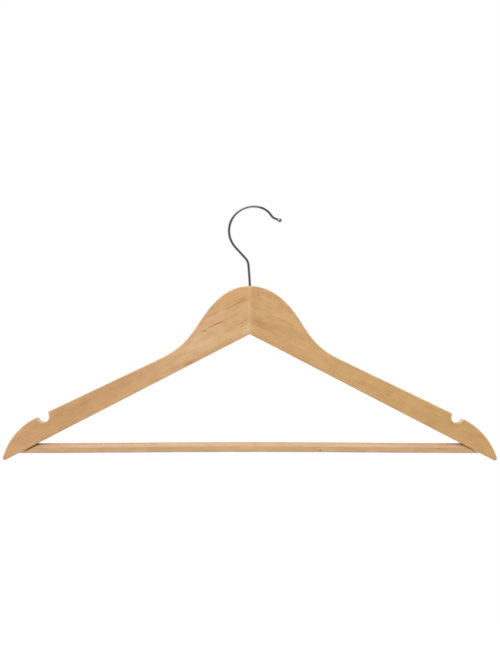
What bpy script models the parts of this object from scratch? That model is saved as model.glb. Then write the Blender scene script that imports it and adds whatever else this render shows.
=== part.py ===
"""A wooden clothes hanger with a bar for trousers, in metres.

Two boards are finger jointed in the middle. A dowel runs between their ends, a brad holds each
end of it, and a wire hook turns in a hole that is drilled down the joint.

From the front, +X runs to the right, +Y away and +Z up. Every size is measured from the apex,
the point where the undersides of the two boards meet, and the shank of the hook stands straight
above it. The finished hanger is then moved, so that the origin lies inside the crown of the
hook, on the rail that carries it.
"""

import math

import bmesh
import bpy
import numpy as np

# Boards
HANGER_WIDTH = 0.445
BOARD_THICKNESS = 0.012
EDGE_ROUNDING = 0.0013
UNDERSIDE_ANGLE = math.radians(27.34)
ARM_WIDTH_AT_NECK = 0.0168
ARM_WIDTH_AT_NOTCH = 0.0208
CROWN_HEIGHT = 0.0435

# The neck falls from the crown in an S, steepest at its middle, and runs out into the arm.
NECK_MIDDLE_X = 0.0470
NECK_MIDDLE_Z = 0.0084
NECK_ANGLE = math.radians(60.9)
NECK_END_X = 0.0743
CROWN_REACH = 0.0216
NECK_REACH_ABOVE = 0.0173
NECK_REACH_BELOW = 0.0058
ARM_REACH = 0.0132

# The shoulder rounds off each arm between its notch and its tip.
SHOULDER_RADIUS = 0.056
TIP_RADIUS = 0.0024

# The notch for straps, a round-bottomed cut with one steep flank and one easy one.
NOTCH_FROM_TIP = 0.0360
NOTCH_RADIUS = 0.0051
NOTCH_DEPTH = 0.0073
NOTCH_STEEP_SIDE = 0.0046
NOTCH_EASY_SIDE = 0.0069
LIP_DROP = 0.0008
LIP_ROUNDING = 0.0014

# The finger joint, seen from above: fingers of both boards between two thin square shoulders.
FINGER_COUNT = 5
FINGER_LENGTH = 0.010
FINGER_TIP_WIDTH = 0.0006
JOINT_SHOULDER = 0.0010
GLUE_GAP = 0.0003

# Trouser bar
BAR_DIAMETER = 0.009
BAR_FROM_TIP = 0.0095
BAR_BOW = 0.0010
BAR_CHAMFER = 0.0005
WOOD_UNDER_BAR_END = 0.0024

# Brads that hold the bar, driven in from behind
BRAD_FROM_BAR_END = 0.006
BRAD_DIAMETER = 0.0014
BRAD_LENGTH = 0.0095
BRAD_POINT = 0.0012
BRAD_POINT_DIAMETER = 0.0004
BRAD_HEAD_DIAMETER = 0.0024
BRAD_HEAD_HEIGHT = 0.0006

# Hook: the wire is bent in one plane, from the shank up over the rail to the ball on its end.
WIRE_DIAMETER = 0.0026
SHANK_DEPTH = 0.026
SHANK_ABOVE_WOOD = 0.0005
LEAN_RADIUS = 0.060
LEAN_ANGLE = math.radians(4.3)
NECK_OF_HOOK_LENGTH = 0.0156
LOWER_BEND_RADIUS = 0.0057
LOWER_BEND_ANGLE = math.radians(40.0)
THROAT_LENGTH = 0.0137
RAIL_BEND_RADIUS = 0.0225
RAIL_BEND_ANGLE = math.radians(149.5)
NOSE_BEND_RADIUS = 0.0166
NOSE_BEND_ANGLE = math.radians(39.8)
NOSE_LENGTH = 0.0012
LIP_BEND_RADIUS = 0.0075
LIP_BEND_ANGLE = math.radians(33.6)
LIP_LENGTH = 0.0046
BALL_DIAMETER = 0.0043
BALL_FLAT_DIAMETER = 0.0009

# Clearance between pieces that fit into each other
FIT_GAP = 0.0003
# How far a cutter reaches past the surface that it opens
CUTTER_REACH = 0.002

# Fineness of the curves
CURVE_STEPS = 12
EDGE_STEPS = 3
ARC_STEP = math.radians(5.0)
WIRE_SIDES = 16
BAR_SIDES = 28
BAR_STEPS = 24
BRAD_SIDES = 16
BALL_STEPS = 7


def material(name, colour, roughness, metallic=0.0):
    """A plain Principled material; the colour is linear."""
    made = bpy.data.materials.new(name)
    made.use_nodes = True
    shader = made.node_tree.nodes["Principled BSDF"]
    shader.inputs["Base Color"].default_value = (*colour, 1.0)
    shader.inputs["Roughness"].default_value = roughness
    shader.inputs["Metallic"].default_value = metallic
    return made


def solid(name, rings):
    """An object whose skin runs through closed rings of as many points each, capped at both ends."""
    rings = np.array(rings)
    count, size = rings.shape[:2]
    form = bmesh.new()
    points = [form.verts.new(point) for point in rings.reshape(-1, 3)]
    for ring in range(count - 1):
        for side in range(size):
            corner = ring * size + side
            beside = ring * size + (side + 1) % size
            form.faces.new((points[corner], points[beside], points[beside + size], points[corner + size]))
    form.faces.new(points[:size])
    form.faces.new(points[-size:])
    bmesh.ops.recalc_face_normals(form, faces=form.faces)
    mesh = bpy.data.meshes.new(name)
    form.to_mesh(mesh)
    form.free()
    mesh.shade_smooth()
    mesh.set_sharp_from_angle(angle=math.radians(30))
    made = bpy.data.objects.new(name, mesh)
    bpy.context.scene.collection.objects.link(made)
    return made


def turned(name, start, direction, side, profile, sides):
    """A solid of revolution: its profile holds (distance along the direction, radius) pairs."""
    across = np.cross(direction, side)
    turn = np.linspace(0.0, 2.0 * math.pi, sides, endpoint=False)[:, None]
    circle = np.cos(turn) * side + np.sin(turn) * across
    return solid(name, [start + direction * along + circle * radius for along, radius in profile])


def swept(name, path, radii, sides):
    """A round tube along a path in the XZ plane, with a radius for each point of the path."""
    path = np.array([(x, 0.0, z) for x, z in path])
    heading = np.gradient(path, axis=0)
    heading /= np.linalg.norm(heading, axis=1)[:, None]
    away = np.array((0.0, 1.0, 0.0))
    across = np.cross(heading, away)
    turn = np.linspace(0.0, 2.0 * math.pi, sides, endpoint=False)[None, :, None]
    circles = np.cos(turn) * away + np.sin(turn) * across[:, None, :]
    return solid(name, path[:, None, :] + circles * np.array(radii)[:, None, None])


def cut(board, cutter):
    """Takes the cutter out of the board, and hides the cutter."""
    cutter.hide_render = True
    cutter.display_type = "WIRE"
    modifier = board.modifiers.new(cutter.name, "BOOLEAN")
    modifier.operation = "DIFFERENCE"
    modifier.solver = "EXACT"
    modifier.object = cutter


def offset(outline, amount):
    """A closed anticlockwise outline drawn in by the amount, or let out where that is negative."""
    outline = np.array(outline)
    along = np.roll(outline, -1, axis=0) - outline
    along /= np.linalg.norm(along, axis=1)[:, None]
    inward = np.column_stack((-along[:, 1], along[:, 0]))
    before = np.roll(inward, 1, axis=0)
    spread = 1.0 + np.sum(before * inward, axis=1)
    return outline + amount * (before + inward) / spread[:, None]


def point(x, z):
    """A point or a direction in the plane of the boards."""
    return np.array((x, z))


def toward(angle):
    """The direction at an angle from +X, turning towards +Z."""
    return point(math.cos(angle), math.sin(angle))


def bezier(start, leaving, arriving, end):
    """Points of a cubic curve, without its last one."""
    steps = np.linspace(0.0, 1.0, CURVE_STEPS, endpoint=False)[:, None]
    back = 1.0 - steps
    return back**3 * start + 3 * back**2 * steps * leaving + 3 * back * steps**2 * arriving + steps**3 * end


def arc(centre, radius, first, last):
    """Points of an arc from the first angle to the last, with both ends."""
    count = max(2, math.ceil(abs(last - first) / ARC_STEP))
    turn = np.linspace(first, last, count + 1)[:, None]
    return centre + radius * np.hstack((np.cos(turn), np.sin(turn)))


def angle_of(direction):
    """The angle of a direction from +X."""
    return math.atan2(direction[1], direction[0])


def soft_corner(before, corner, after, rounding):
    """Points of an arc round a corner that turns clockwise, with both ends that far from it."""
    back = (before - corner) / np.linalg.norm(before - corner)
    onward = (after - corner) / np.linalg.norm(after - corner)
    half = math.acos(back @ onward) / 2
    inward = (back + onward) / np.linalg.norm(back + onward)
    centre = corner + rounding / math.cos(half) * inward
    first = angle_of(corner + rounding * back - centre)
    return arc(centre, rounding * math.tan(half), first, first + 2 * half - math.pi)


def touch(outside, centre, radius, side):
    """The angle at which a straight line from a point outside touches a circle, on one side of it."""
    reach = outside - centre
    return angle_of(reach) + side * math.acos(radius / np.linalg.norm(reach))


def underside(x):
    """Height of the boards' underside."""
    return -math.tan(UNDERSIDE_ANGLE) * x


def tip_x():
    """Distance of an arm's tip from the middle."""
    return HANGER_WIDTH / 2


def notch_x():
    """Distance of a notch from the middle."""
    return tip_x() - NOTCH_FROM_TIP


def steep_corner_x():
    """Distance from the middle at which the straight upper edge of an arm ends in the notch."""
    return notch_x() - NOTCH_STEEP_SIDE


def upper_edge(x):
    """Height of the straight upper edge of an arm, which widens from the neck to the notch."""
    rise = 1.0 / math.cos(UNDERSIDE_ANGLE)
    near = underside(NECK_END_X) + ARM_WIDTH_AT_NECK * rise
    far = underside(steep_corner_x()) + ARM_WIDTH_AT_NOTCH * rise
    return near + (far - near) * (x - NECK_END_X) / (steep_corner_x() - NECK_END_X)


def neck():
    """From the crown down the S of the neck to the start of the straight edge."""
    top = point(0.0, CROWN_HEIGHT)
    middle = point(NECK_MIDDLE_X, NECK_MIDDLE_Z)
    end = point(NECK_END_X, upper_edge(NECK_END_X))
    fall = toward(-NECK_ANGLE)
    edge = point(1.0, upper_edge(1.0) - upper_edge(0.0))
    edge /= np.linalg.norm(edge)
    above = bezier(top, top + point(CROWN_REACH, 0.0), middle - NECK_REACH_ABOVE * fall, middle)
    below = bezier(middle, middle + NECK_REACH_BELOW * fall, end - ARM_REACH * edge, end)
    return np.vstack((above, below, end[None, :]))


def notch():
    """From the steep corner round the bottom of the notch, as far as its easy flank."""
    corner = point(steep_corner_x(), upper_edge(steep_corner_x()))
    lip = easy_lip()
    centre = point(notch_x(), upper_edge(notch_x()) - NOTCH_DEPTH + NOTCH_RADIUS)
    first = touch(corner, centre, NOTCH_RADIUS, 1)
    last = touch(lip, centre, NOTCH_RADIUS, -1) + 2.0 * math.pi
    return np.vstack((corner, arc(centre, NOTCH_RADIUS, first, last)))


def easy_lip():
    """The corner where the easy flank of the notch meets the shoulder."""
    x = notch_x() + NOTCH_EASY_SIDE
    return point(x, upper_edge(x) - LIP_DROP)


def shoulder(flank):
    """From the end of the flank over the lip and the shoulder's arc, and round the tip."""
    lip = easy_lip()
    tip_middle = tip_x() - TIP_RADIUS
    tip = point(tip_middle, underside(tip_middle) + TIP_RADIUS / math.cos(UNDERSIDE_ANGLE))
    chord = tip - lip
    length = np.linalg.norm(chord)
    inner = SHOULDER_RADIUS - TIP_RADIUS
    along = (length**2 + SHOULDER_RADIUS**2 - inner**2) / (2 * length)
    aside = math.sqrt(SHOULDER_RADIUS**2 - along**2)
    chord /= length
    centre = lip + along * chord + aside * point(chord[1], -chord[0])
    first = angle_of(lip - centre) - LIP_ROUNDING / SHOULDER_RADIUS
    last = angle_of(tip - centre)
    curve = arc(centre, SHOULDER_RADIUS, first, last)
    round_tip = arc(tip, TIP_RADIUS, last, -math.pi / 2 - UNDERSIDE_ANGLE)
    return np.vstack((soft_corner(flank, lip, curve[0], LIP_ROUNDING), curve[1:], round_tip[1:]))


def board_outline():
    """The outline of the two boards together, anticlockwise from the apex."""
    floor_of_notch = notch()
    right = np.vstack((neck(), floor_of_notch, shoulder(floor_of_notch[-1])))
    left = right[1:] * (-1.0, 1.0)
    return np.vstack(((0.0, 0.0), right[::-1], left))


def board_blank(name):
    """Both boards in one, with the long edges rounded over."""
    outline = board_outline()
    quarter = np.linspace(0.0, math.pi / 2, EDGE_STEPS + 1)
    half = BOARD_THICKNESS / 2
    rounding = [(half - EDGE_ROUNDING * (1 - math.sin(a)), EDGE_ROUNDING * (1 - math.cos(a))) for a in quarter]
    layers = [(-depth, inset) for depth, inset in reversed(rounding)] + rounding
    rings = []
    for depth, inset in layers:
        drawn = offset(outline, inset)
        rings.append([(x, depth, z) for x, z in drawn])
    return solid(name, rings)


def finger_line():
    """The line of the joint from front to back, as (x, y): a finger of each board in turn."""
    span = BOARD_THICKNESS - 2 * JOINT_SHOULDER
    step = span / FINGER_COUNT
    line = [(0.0, -BOARD_THICKNESS / 2 - CUTTER_REACH), (0.0, -span / 2)]
    for finger in range(FINGER_COUNT):
        x = -FINGER_LENGTH / 2 if finger % 2 == 0 else FINGER_LENGTH / 2
        middle = -span / 2 + (finger + 0.5) * step
        line += [(x, middle - FINGER_TIP_WIDTH / 2), (x, middle + FINGER_TIP_WIDTH / 2)]
    return line + [(0.0, span / 2), (0.0, BOARD_THICKNESS / 2 + CUTTER_REACH)]


def joint_cutter(name, side):
    """Takes away all that lies on one side of the joint: +1 for the right, -1 for the left."""
    far = side * (HANGER_WIDTH / 2 + CUTTER_REACH)
    line = finger_line()
    area = line + [(far, line[-1][1]), (far, line[0][1])]
    if side > 0:
        area = area[::-1]
    area = offset(area, -GLUE_GAP / 2)
    low = underside(tip_x()) - CUTTER_REACH
    high = CROWN_HEIGHT + CUTTER_REACH
    return solid(name, [[(x, y, z) for x, y in area] for z in (low, high)])


def bar_end_x():
    """Distance of each end of the bar from the middle."""
    return tip_x() - BAR_FROM_TIP


def bar_height():
    """Height of the bar's axis at its ends."""
    return underside(bar_end_x()) + WOOD_UNDER_BAR_END + BAR_DIAMETER / 2


def trouser_bar():
    """A dowel that bows up a little between its ends, as a pinched strip does."""
    end = bar_end_x()
    straight = np.linspace(-1.0, 1.0, BAR_STEPS + 1) * (end - BAR_CHAMFER)
    along = np.concatenate(((-end,), straight, (end,)))
    heights = bar_height() + BAR_BOW * (1 + np.cos(math.pi * along / end)) / 2
    radii = np.full(len(along), BAR_DIAMETER / 2)
    radii[[0, -1]] -= BAR_CHAMFER
    return swept("trouser_bar", np.column_stack((along, heights)), radii, BAR_SIDES)


def bar_socket(name, side):
    """The blind hole in an arm that takes one end of the bar, cut from well outside the wood."""
    radius = BAR_DIAMETER / 2 + FIT_GAP
    start = np.array((0.0, 0.0, bar_height()))
    away = np.array((0.0, 1.0, 0.0))
    profile = [(NECK_END_X, radius), (bar_end_x() + FIT_GAP, radius)]
    return turned(name, start, np.array((side, 0.0, 0.0)), away, profile, BAR_SIDES)


def brad_profile(gap, past):
    """A brad from its head to its point, let out by a gap, its head reaching past the board."""
    head = BRAD_HEAD_DIAMETER / 2 + gap
    shank = BRAD_DIAMETER / 2 + gap
    neck_depth = BRAD_HEAD_HEIGHT + gap
    return [
        (-past, head),
        (neck_depth, head),
        (neck_depth, shank),
        (BRAD_LENGTH - BRAD_POINT, shank),
        (BRAD_LENGTH + gap, BRAD_POINT_DIAMETER / 2 + gap),
    ]


def brad(name, side, gap=0.0, past=0.0):
    """A brad through the back of an arm and the bar's end, or the hole for it."""
    place = np.array((side * (bar_end_x() - BRAD_FROM_BAR_END), BOARD_THICKNESS / 2, bar_height()))
    forward = np.array((0.0, -1.0, 0.0))
    right = np.array((1.0, 0.0, 0.0))
    return turned(name, place, forward, right, brad_profile(gap, past), BRAD_SIDES)


def wire_line():
    """The middle of the hook's wire, as straights and bends that follow on from each other."""
    form = (
        (SHANK_DEPTH + SHANK_ABOVE_WOOD, LEAN_RADIUS, LEAN_ANGLE),
        (NECK_OF_HOOK_LENGTH, LOWER_BEND_RADIUS, LOWER_BEND_ANGLE),
        (THROAT_LENGTH, RAIL_BEND_RADIUS, -RAIL_BEND_ANGLE),
        (0.0, NOSE_BEND_RADIUS, -NOSE_BEND_ANGLE),
        (NOSE_LENGTH, LIP_BEND_RADIUS, LIP_BEND_ANGLE),
    )
    place = point(0.0, CROWN_HEIGHT - SHANK_DEPTH)
    heading = math.pi / 2
    line = [place]
    for straight, radius, turn in form:
        place = place + straight * toward(heading)
        to_centre = math.copysign(math.pi / 2, turn)
        centre = place + radius * toward(heading + to_centre)
        first = heading - to_centre
        bend = arc(centre, radius, first, first + turn)
        line += list(bend if straight else bend[1:])
        place = bend[-1]
        heading += turn
    return line, place + LIP_LENGTH * toward(heading), heading


def hook():
    """The wire with a ball on its end: along the last stretch the tube's radius is a sphere's."""
    line, ball, heading = wire_line()
    wire = WIRE_DIAMETER / 2
    sphere = BALL_DIAMETER / 2
    far_end = math.pi - math.asin(BALL_FLAT_DIAMETER / BALL_DIAMETER)
    latitudes = np.linspace(math.asin(wire / sphere), far_end, BALL_STEPS)
    path = line + [ball - sphere * math.cos(angle) * toward(heading) for angle in latitudes]
    radii = [wire] * len(line) + [sphere * math.sin(angle) for angle in latitudes]
    return swept("hook", path, radii, WIRE_SIDES)


def hook_hole(name):
    """The hole down the joint in which the shank turns."""
    radius = WIRE_DIAMETER / 2 + FIT_GAP
    top = np.array((0.0, 0.0, CROWN_HEIGHT))
    down = np.array((0.0, 0.0, -1.0))
    profile = [(-CUTTER_REACH, radius), (SHANK_DEPTH + FIT_GAP, radius)]
    return turned(name, top, down, np.array((1.0, 0.0, 0.0)), profile, WIRE_SIDES)


def saddle():
    """The point inside the crown of the hook where the rail carries it."""
    line, _, _ = wire_line()
    top = max(line, key=lambda place: place[1])
    return top[0], top[1] - WIRE_DIAMETER / 2


def arm(name, side):
    """One board: a half of the blank, with its finger joint, its holes and its wood."""
    board = board_blank(name)
    cut(board, joint_cutter(name + "_joint_cutter", -side))
    cut(board, hook_hole(name + "_hook_hole"))
    cut(board, bar_socket(name + "_bar_socket", side))
    cut(board, brad(name + "_brad_hole", side, FIT_GAP, CUTTER_REACH))
    return board


def build():
    """Builds the hanger and moves it so that the origin is on the rail."""
    for old in list(bpy.data.objects):
        bpy.data.objects.remove(old)
    board_wood = material("board_wood", (0.64, 0.39, 0.19), 0.45)
    bar_wood = material("bar_wood", (0.69, 0.44, 0.26), 0.5)
    steel = material("chromed_wire", (0.55, 0.55, 0.56), 0.18, 1.0)
    brad_steel = material("brad_steel", (0.45, 0.45, 0.46), 0.35, 1.0)
    bar = trouser_bar()
    bar.data.materials.append(bar_wood)
    for side_name, side in (("left", -1), ("right", 1)):
        arm(side_name + "_arm", side).data.materials.append(board_wood)
        brad(side_name + "_bar_brad", side).data.materials.append(brad_steel)
        cut(bar, bpy.data.objects[side_name + "_arm_brad_hole"])
    hook().data.materials.append(steel)
    pieces = list(bpy.data.objects)
    swivel_axis = bpy.data.objects.new("swivel_axis", None)
    bpy.context.scene.collection.objects.link(swivel_axis)
    for piece in pieces:
        piece.parent = swivel_axis
    x, z = saddle()
    swivel_axis.location = (-x, 0.0, -z)


build()
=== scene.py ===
"""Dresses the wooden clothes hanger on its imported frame.

Each sub-assembly is a class that holds its sizes and builds its own pieces, and each finish is a
small class that makes its own material. Lengths are in metres and colours are linear. The pieces
are worked out from the apex, the point where the undersides of the two boards meet, with +X to the
right, +Y away and +Z up, and `APEX` is its place in the frame.
"""

from __future__ import annotations

import logging
import math
from dataclasses import dataclass
from enum import Enum

import bmesh
import bpy
import numpy as np
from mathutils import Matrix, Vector


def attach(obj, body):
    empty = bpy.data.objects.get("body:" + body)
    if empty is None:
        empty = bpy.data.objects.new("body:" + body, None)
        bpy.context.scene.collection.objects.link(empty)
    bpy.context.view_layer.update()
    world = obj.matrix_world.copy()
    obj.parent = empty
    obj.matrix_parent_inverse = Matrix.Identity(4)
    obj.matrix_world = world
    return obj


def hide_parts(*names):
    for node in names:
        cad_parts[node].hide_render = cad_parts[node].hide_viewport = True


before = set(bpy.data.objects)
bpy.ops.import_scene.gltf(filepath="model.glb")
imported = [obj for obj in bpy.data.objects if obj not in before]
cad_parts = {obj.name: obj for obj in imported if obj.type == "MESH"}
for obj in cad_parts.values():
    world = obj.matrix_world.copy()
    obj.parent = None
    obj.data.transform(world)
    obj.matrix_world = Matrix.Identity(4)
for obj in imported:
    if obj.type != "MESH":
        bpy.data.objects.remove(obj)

APEX = np.array((-0.0036899, 0.0, -0.11432752))
SHARP_ANGLE = math.radians(30.0)

Piece = bpy.types.Object
Tree = bpy.types.NodeTree
Socket = bpy.types.NodeSocket
Colour = tuple[float, float, float]
Value = Socket | float
Paint = Socket | Colour
Span = tuple[Value, Value]
Inputs = dict[str | int, Value | tuple[float, ...]]

log = logging.getLogger("clothes_hanger")


class Side(Enum):
    """The two halves of the hanger, as seen from the front."""

    LEFT = -1
    RIGHT = 1

    @property
    def label(self) -> str:
        """The side's name in small letters."""
        return self.name.lower()


# Shapes that every sub-assembly uses


def flat(x: float, z: float) -> np.ndarray:
    """A point or a direction in the plane of the boards."""
    return np.array((x, z))


def toward(angle: float) -> np.ndarray:
    """The direction at an angle from +X, turning towards +Z."""
    return flat(math.cos(angle), math.sin(angle))


def angle_of(direction: np.ndarray) -> float:
    """The angle of a direction from +X."""
    return math.atan2(direction[1], direction[0])


def full_turn(sides: int) -> np.ndarray:
    """Even angles round a full turn, from 0."""
    return np.linspace(0.0, 2.0 * math.pi, sides, endpoint=False)


def arc(centre: np.ndarray, radius: float, first: float, last: float, step: float) -> np.ndarray:
    """Points of an arc with both its ends: centre plus radius times (cosine, sine) of each angle.

    Args:
        centre: Middle of the circle.
        radius: Its radius.
        first: Angle of the first point.
        last: Angle of the last point.
        step: Largest angle between two points.

    Returns:
        The points, one to a row.
    """
    count = max(2, math.ceil(abs(last - first) / step))
    turn = np.linspace(first, last, count + 1)[:, None]
    return centre + radius * np.hstack((np.cos(turn), np.sin(turn)))


def drawn_in(outline: np.ndarray, amount: float) -> np.ndarray:
    """A closed anticlockwise outline moved inwards, with every side kept parallel to itself.

    Each point moves by the amount times the sum of the inward directions of its two sides, divided
    by one plus their dot product.

    Args:
        outline: The points, one to a row.
        amount: How far each side moves inwards, or outwards where it is negative.

    Returns:
        The moved points.
    """
    along = np.roll(outline, -1, axis=0) - outline
    along /= np.linalg.norm(along, axis=1)[:, None]
    inward = np.column_stack((-along[:, 1], along[:, 0]))
    before = np.roll(inward, 1, axis=0)
    spread = 1.0 + np.sum(before * inward, axis=1)
    return outline + amount * (before + inward) / spread[:, None]


def placed(name: str, data: bpy.types.ID) -> Piece:
    """A new object in the scene.

    Args:
        name: Its name.
        data: Its mesh, camera or lamp.

    Returns:
        The object, at the origin of the frame.
    """
    made = bpy.data.objects.new(name, data)
    bpy.context.scene.collection.objects.link(made)
    return made


def skin(name: str, rings: np.ndarray) -> Piece:
    """A closed skin over a grid of rings.

    Face (i, j) joins ring i to ring i + 1 between their sides j and j + 1, and a flat face closes
    each end.

    Args:
        name: Name of the new object.
        rings: Points counted from the apex, as (ring, side, 3).

    Returns:
        The object, with its faces outwards.
    """
    corner = np.arange(rings.shape[0] * rings.shape[1]).reshape(rings.shape[:2])
    beside = np.roll(corner, -1, axis=1)
    quads = np.stack((corner[:-1], beside[:-1], beside[1:], corner[1:]), axis=-1).reshape(-1, 4)
    ends = [corner[0, ::-1].tolist(), corner[-1].tolist()]
    mesh = bpy.data.meshes.new(name)
    mesh.from_pydata((rings.reshape(-1, 3) + APEX).tolist(), [], quads.tolist() + ends)
    form = bmesh.new()
    form.from_mesh(mesh)
    bmesh.ops.recalc_face_normals(form, faces=form.faces)
    form.to_mesh(mesh)
    form.free()
    return placed(name, mesh)


def turned(
    name: str, start: np.ndarray, direction: np.ndarray, profile: np.ndarray, sides: int
) -> Piece:
    """A solid of revolution: start plus distance times direction plus radius times a turning arm.

    Args:
        name: Name of the new object.
        start: Where the distances are counted from.
        direction: Unit vector along the axis, which is either along Y or square to it.
        profile: Rows of (distance along the axis, radius).
        sides: Number of sides of the round.

    Returns:
        The object.
    """
    arm = np.array((1.0, 0.0, 0.0)) if direction[1] else np.array((0.0, 1.0, 0.0))
    across = np.cross(direction, arm)
    turn = full_turn(sides)[None, :, None]
    circle = np.cos(turn) * arm + np.sin(turn) * across
    middle = start + profile[:, 0, None] * direction
    return skin(name, middle[:, None, :] + profile[:, 1, None, None] * circle)


def rounded(piece: Piece) -> Piece:
    """Shades a piece smoothly, with its sharp edges kept sharp.

    Args:
        piece: The object.

    Returns:
        The same object.
    """
    piece.data.shade_smooth()
    piece.data.set_sharp_from_angle(angle=SHARP_ANGLE)
    return piece


def cut_out(piece: Piece, cutters: list[Piece]) -> None:
    """Takes the cutters out of a piece for good, and deletes them.

    Args:
        piece: The object that loses material.
        cutters: Closed solids, one for each cut.
    """
    for cutter in cutters:
        modifier = piece.modifiers.new(cutter.name, "BOOLEAN")
        modifier.operation = "DIFFERENCE"
        modifier.solver = "EXACT"
        modifier.object = cutter
    graph = bpy.context.evaluated_depsgraph_get()
    mesh = bpy.data.meshes.new_from_object(piece.evaluated_get(graph))
    mesh.name = piece.name
    piece.modifiers.clear()
    piece.data = mesh
    for cutter in cutters:
        bpy.data.objects.remove(cutter)


def dress(piece: Piece, finish: bpy.types.Material, body: str) -> None:
    """Gives a piece its finish and puts it on the frame in the place of the node of its name.

    Args:
        piece: The finished piece, named NODE_dressed.
        finish: Its material.
        body: The body that it moves with.
    """
    piece.data.materials.clear()
    piece.data.materials.append(finish)
    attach(piece, body)
    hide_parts(piece.name.removesuffix("_dressed"))
    faces = len(piece.data.polygons)
    log.info("%s rides on %s, %d faces, finish %s", piece.name, body, faces, finish.name)


# The two boards


@dataclass(frozen=True)
class ArmOutline:
    """The outline of one arm, from the top of the crown round its tip.

    x is counted away from the middle.
    """

    tip_x: float = 0.2229
    crown_height: float = 0.0435
    underside_angle: float = math.radians(27.34)
    width_at_neck: float = 0.01706
    width_at_notch: float = 0.0203
    neck_middle: tuple[float, float] = (0.04847, 0.00727)
    neck_angle: float = math.radians(57.72)
    neck_end_x: float = 0.0804
    crown_reach: float = 0.0271
    neck_reach_above: float = 0.0110
    neck_reach_below: float = 0.0151
    arm_reach: float = 0.0182
    shoulder_radius: float = 0.0585
    tip_radius: float = 0.0020
    notch_from_tip: float = 0.0361
    notch_radius: float = 0.0050
    notch_depth: float = 0.0068
    notch_steep_side: float = 0.0040
    notch_easy_side: float = 0.0060
    corner_rounding: float = 0.0016
    lip_drop: float = 0.0003
    lip_rounding: float = 0.0014
    curve_steps: int = 28
    arc_step: float = math.radians(2.5)

    @property
    def notch_x(self) -> float:
        """Distance of a notch from the middle."""
        return self.tip_x - self.notch_from_tip

    @property
    def steep_corner_x(self) -> float:
        """Distance from the middle at which the straight upper edge ends in the notch."""
        return self.notch_x - self.notch_steep_side

    def underside(self, x: float) -> float:
        """Height of the underside, which falls evenly from the apex."""
        return -math.tan(self.underside_angle) * x

    def upper_edge(self, x: float) -> float:
        """Height of an arm's straight upper edge, as the arm widens from its neck to its notch.

        Args:
            x: Distance from the middle.

        Returns:
            The height over the apex.
        """
        rise = 1.0 / math.cos(self.underside_angle)
        near = self.underside(self.neck_end_x) + self.width_at_neck * rise
        far = self.underside(self.steep_corner_x) + self.width_at_notch * rise
        length = self.steep_corner_x - self.neck_end_x
        return near + (far - near) * (x - self.neck_end_x) / length

    def bezier(self, points: tuple[np.ndarray, ...]) -> np.ndarray:
        """A cubic curve through the first and last of four points, without its last point.

        Args:
            points: Start, its handle, the handle of the end, and the end.

        Returns:
            The points of the curve, one to a row.
        """
        step = np.linspace(0.0, 1.0, self.curve_steps, endpoint=False)[:, None]
        back = 1.0 - step
        start, leaving, arriving, end = points
        bend = 3 * back**2 * step * leaving + 3 * back * step**2 * arriving
        return back**3 * start + bend + step**3 * end

    def neck(self) -> np.ndarray:
        """The S from the top of the crown to the straight edge: two cubic curves.

        Returns:
            The points, one to a row.
        """
        top = flat(0.0, self.crown_height)
        middle = flat(*self.neck_middle)
        end = flat(self.neck_end_x, self.upper_edge(self.neck_end_x))
        fall = toward(-self.neck_angle)
        edge = flat(1.0, self.upper_edge(1.0) - self.upper_edge(0.0))
        edge /= np.linalg.norm(edge)
        leaving = top + flat(self.crown_reach, 0.0)
        above = (top, leaving, middle - self.neck_reach_above * fall, middle)
        below = (middle, middle + self.neck_reach_below * fall, end - self.arm_reach * edge, end)
        return np.vstack((self.bezier(above), self.bezier(below), end[None, :]))

    def lip(self) -> np.ndarray:
        """The corner where the easy flank of the notch meets the shoulder."""
        x = self.notch_x + self.notch_easy_side
        return flat(x, self.upper_edge(x) - self.lip_drop)

    def touch(self, outside: np.ndarray, centre: np.ndarray, side: int) -> float:
        """Where a straight line from a point outside touches the notch's circle.

        Args:
            outside: The point.
            centre: Middle of the circle.
            side: +1 or -1 for the two lines that touch it.

        Returns:
            The angle of that place on the circle.
        """
        reach = outside - centre
        return angle_of(reach) + side * math.acos(self.notch_radius / np.linalg.norm(reach))

    def notch(self) -> np.ndarray:
        """The steep flank and the round bottom: a soft corner, then the arc between the flanks.

        Returns:
            The points, one to a row.
        """
        corner = flat(self.steep_corner_x, self.upper_edge(self.steep_corner_x))
        height = self.upper_edge(self.notch_x) - self.notch_depth + self.notch_radius
        centre = flat(self.notch_x, height)
        first = self.touch(corner, centre, 1)
        last = self.touch(self.lip(), centre, -1) + 2.0 * math.pi
        bottom = arc(centre, self.notch_radius, first, last, self.arc_step)
        edge = flat(self.neck_end_x, self.upper_edge(self.neck_end_x))
        return np.vstack((self.softened(corner, edge, bottom[0], self.corner_rounding), bottom))

    def softened(
        self, corner: np.ndarray, before: np.ndarray, after: np.ndarray, rounding: float
    ) -> np.ndarray:
        """A corner as a small arc that touches the lines to the points on both sides of it.

        Args:
            corner: The sharp corner.
            before: A point on the line that comes to it.
            after: A point on the line that leaves it.
            rounding: How far from the corner the arc begins and ends; 0 leaves the corner sharp.

        Returns:
            The points of the arc, one to a row.
        """
        if not rounding:
            return corner[None, :]
        back = (before - corner) / np.linalg.norm(before - corner)
        onward = (after - corner) / np.linalg.norm(after - corner)
        half = math.acos(back @ onward) / 2
        inward = (back + onward) / np.linalg.norm(back + onward)
        centre = corner + rounding / math.cos(half) * inward
        first = angle_of(corner + rounding * back - centre)
        radius = rounding * math.tan(half)
        return arc(centre, radius, first, first + 2 * half - math.pi, self.arc_step)

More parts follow.
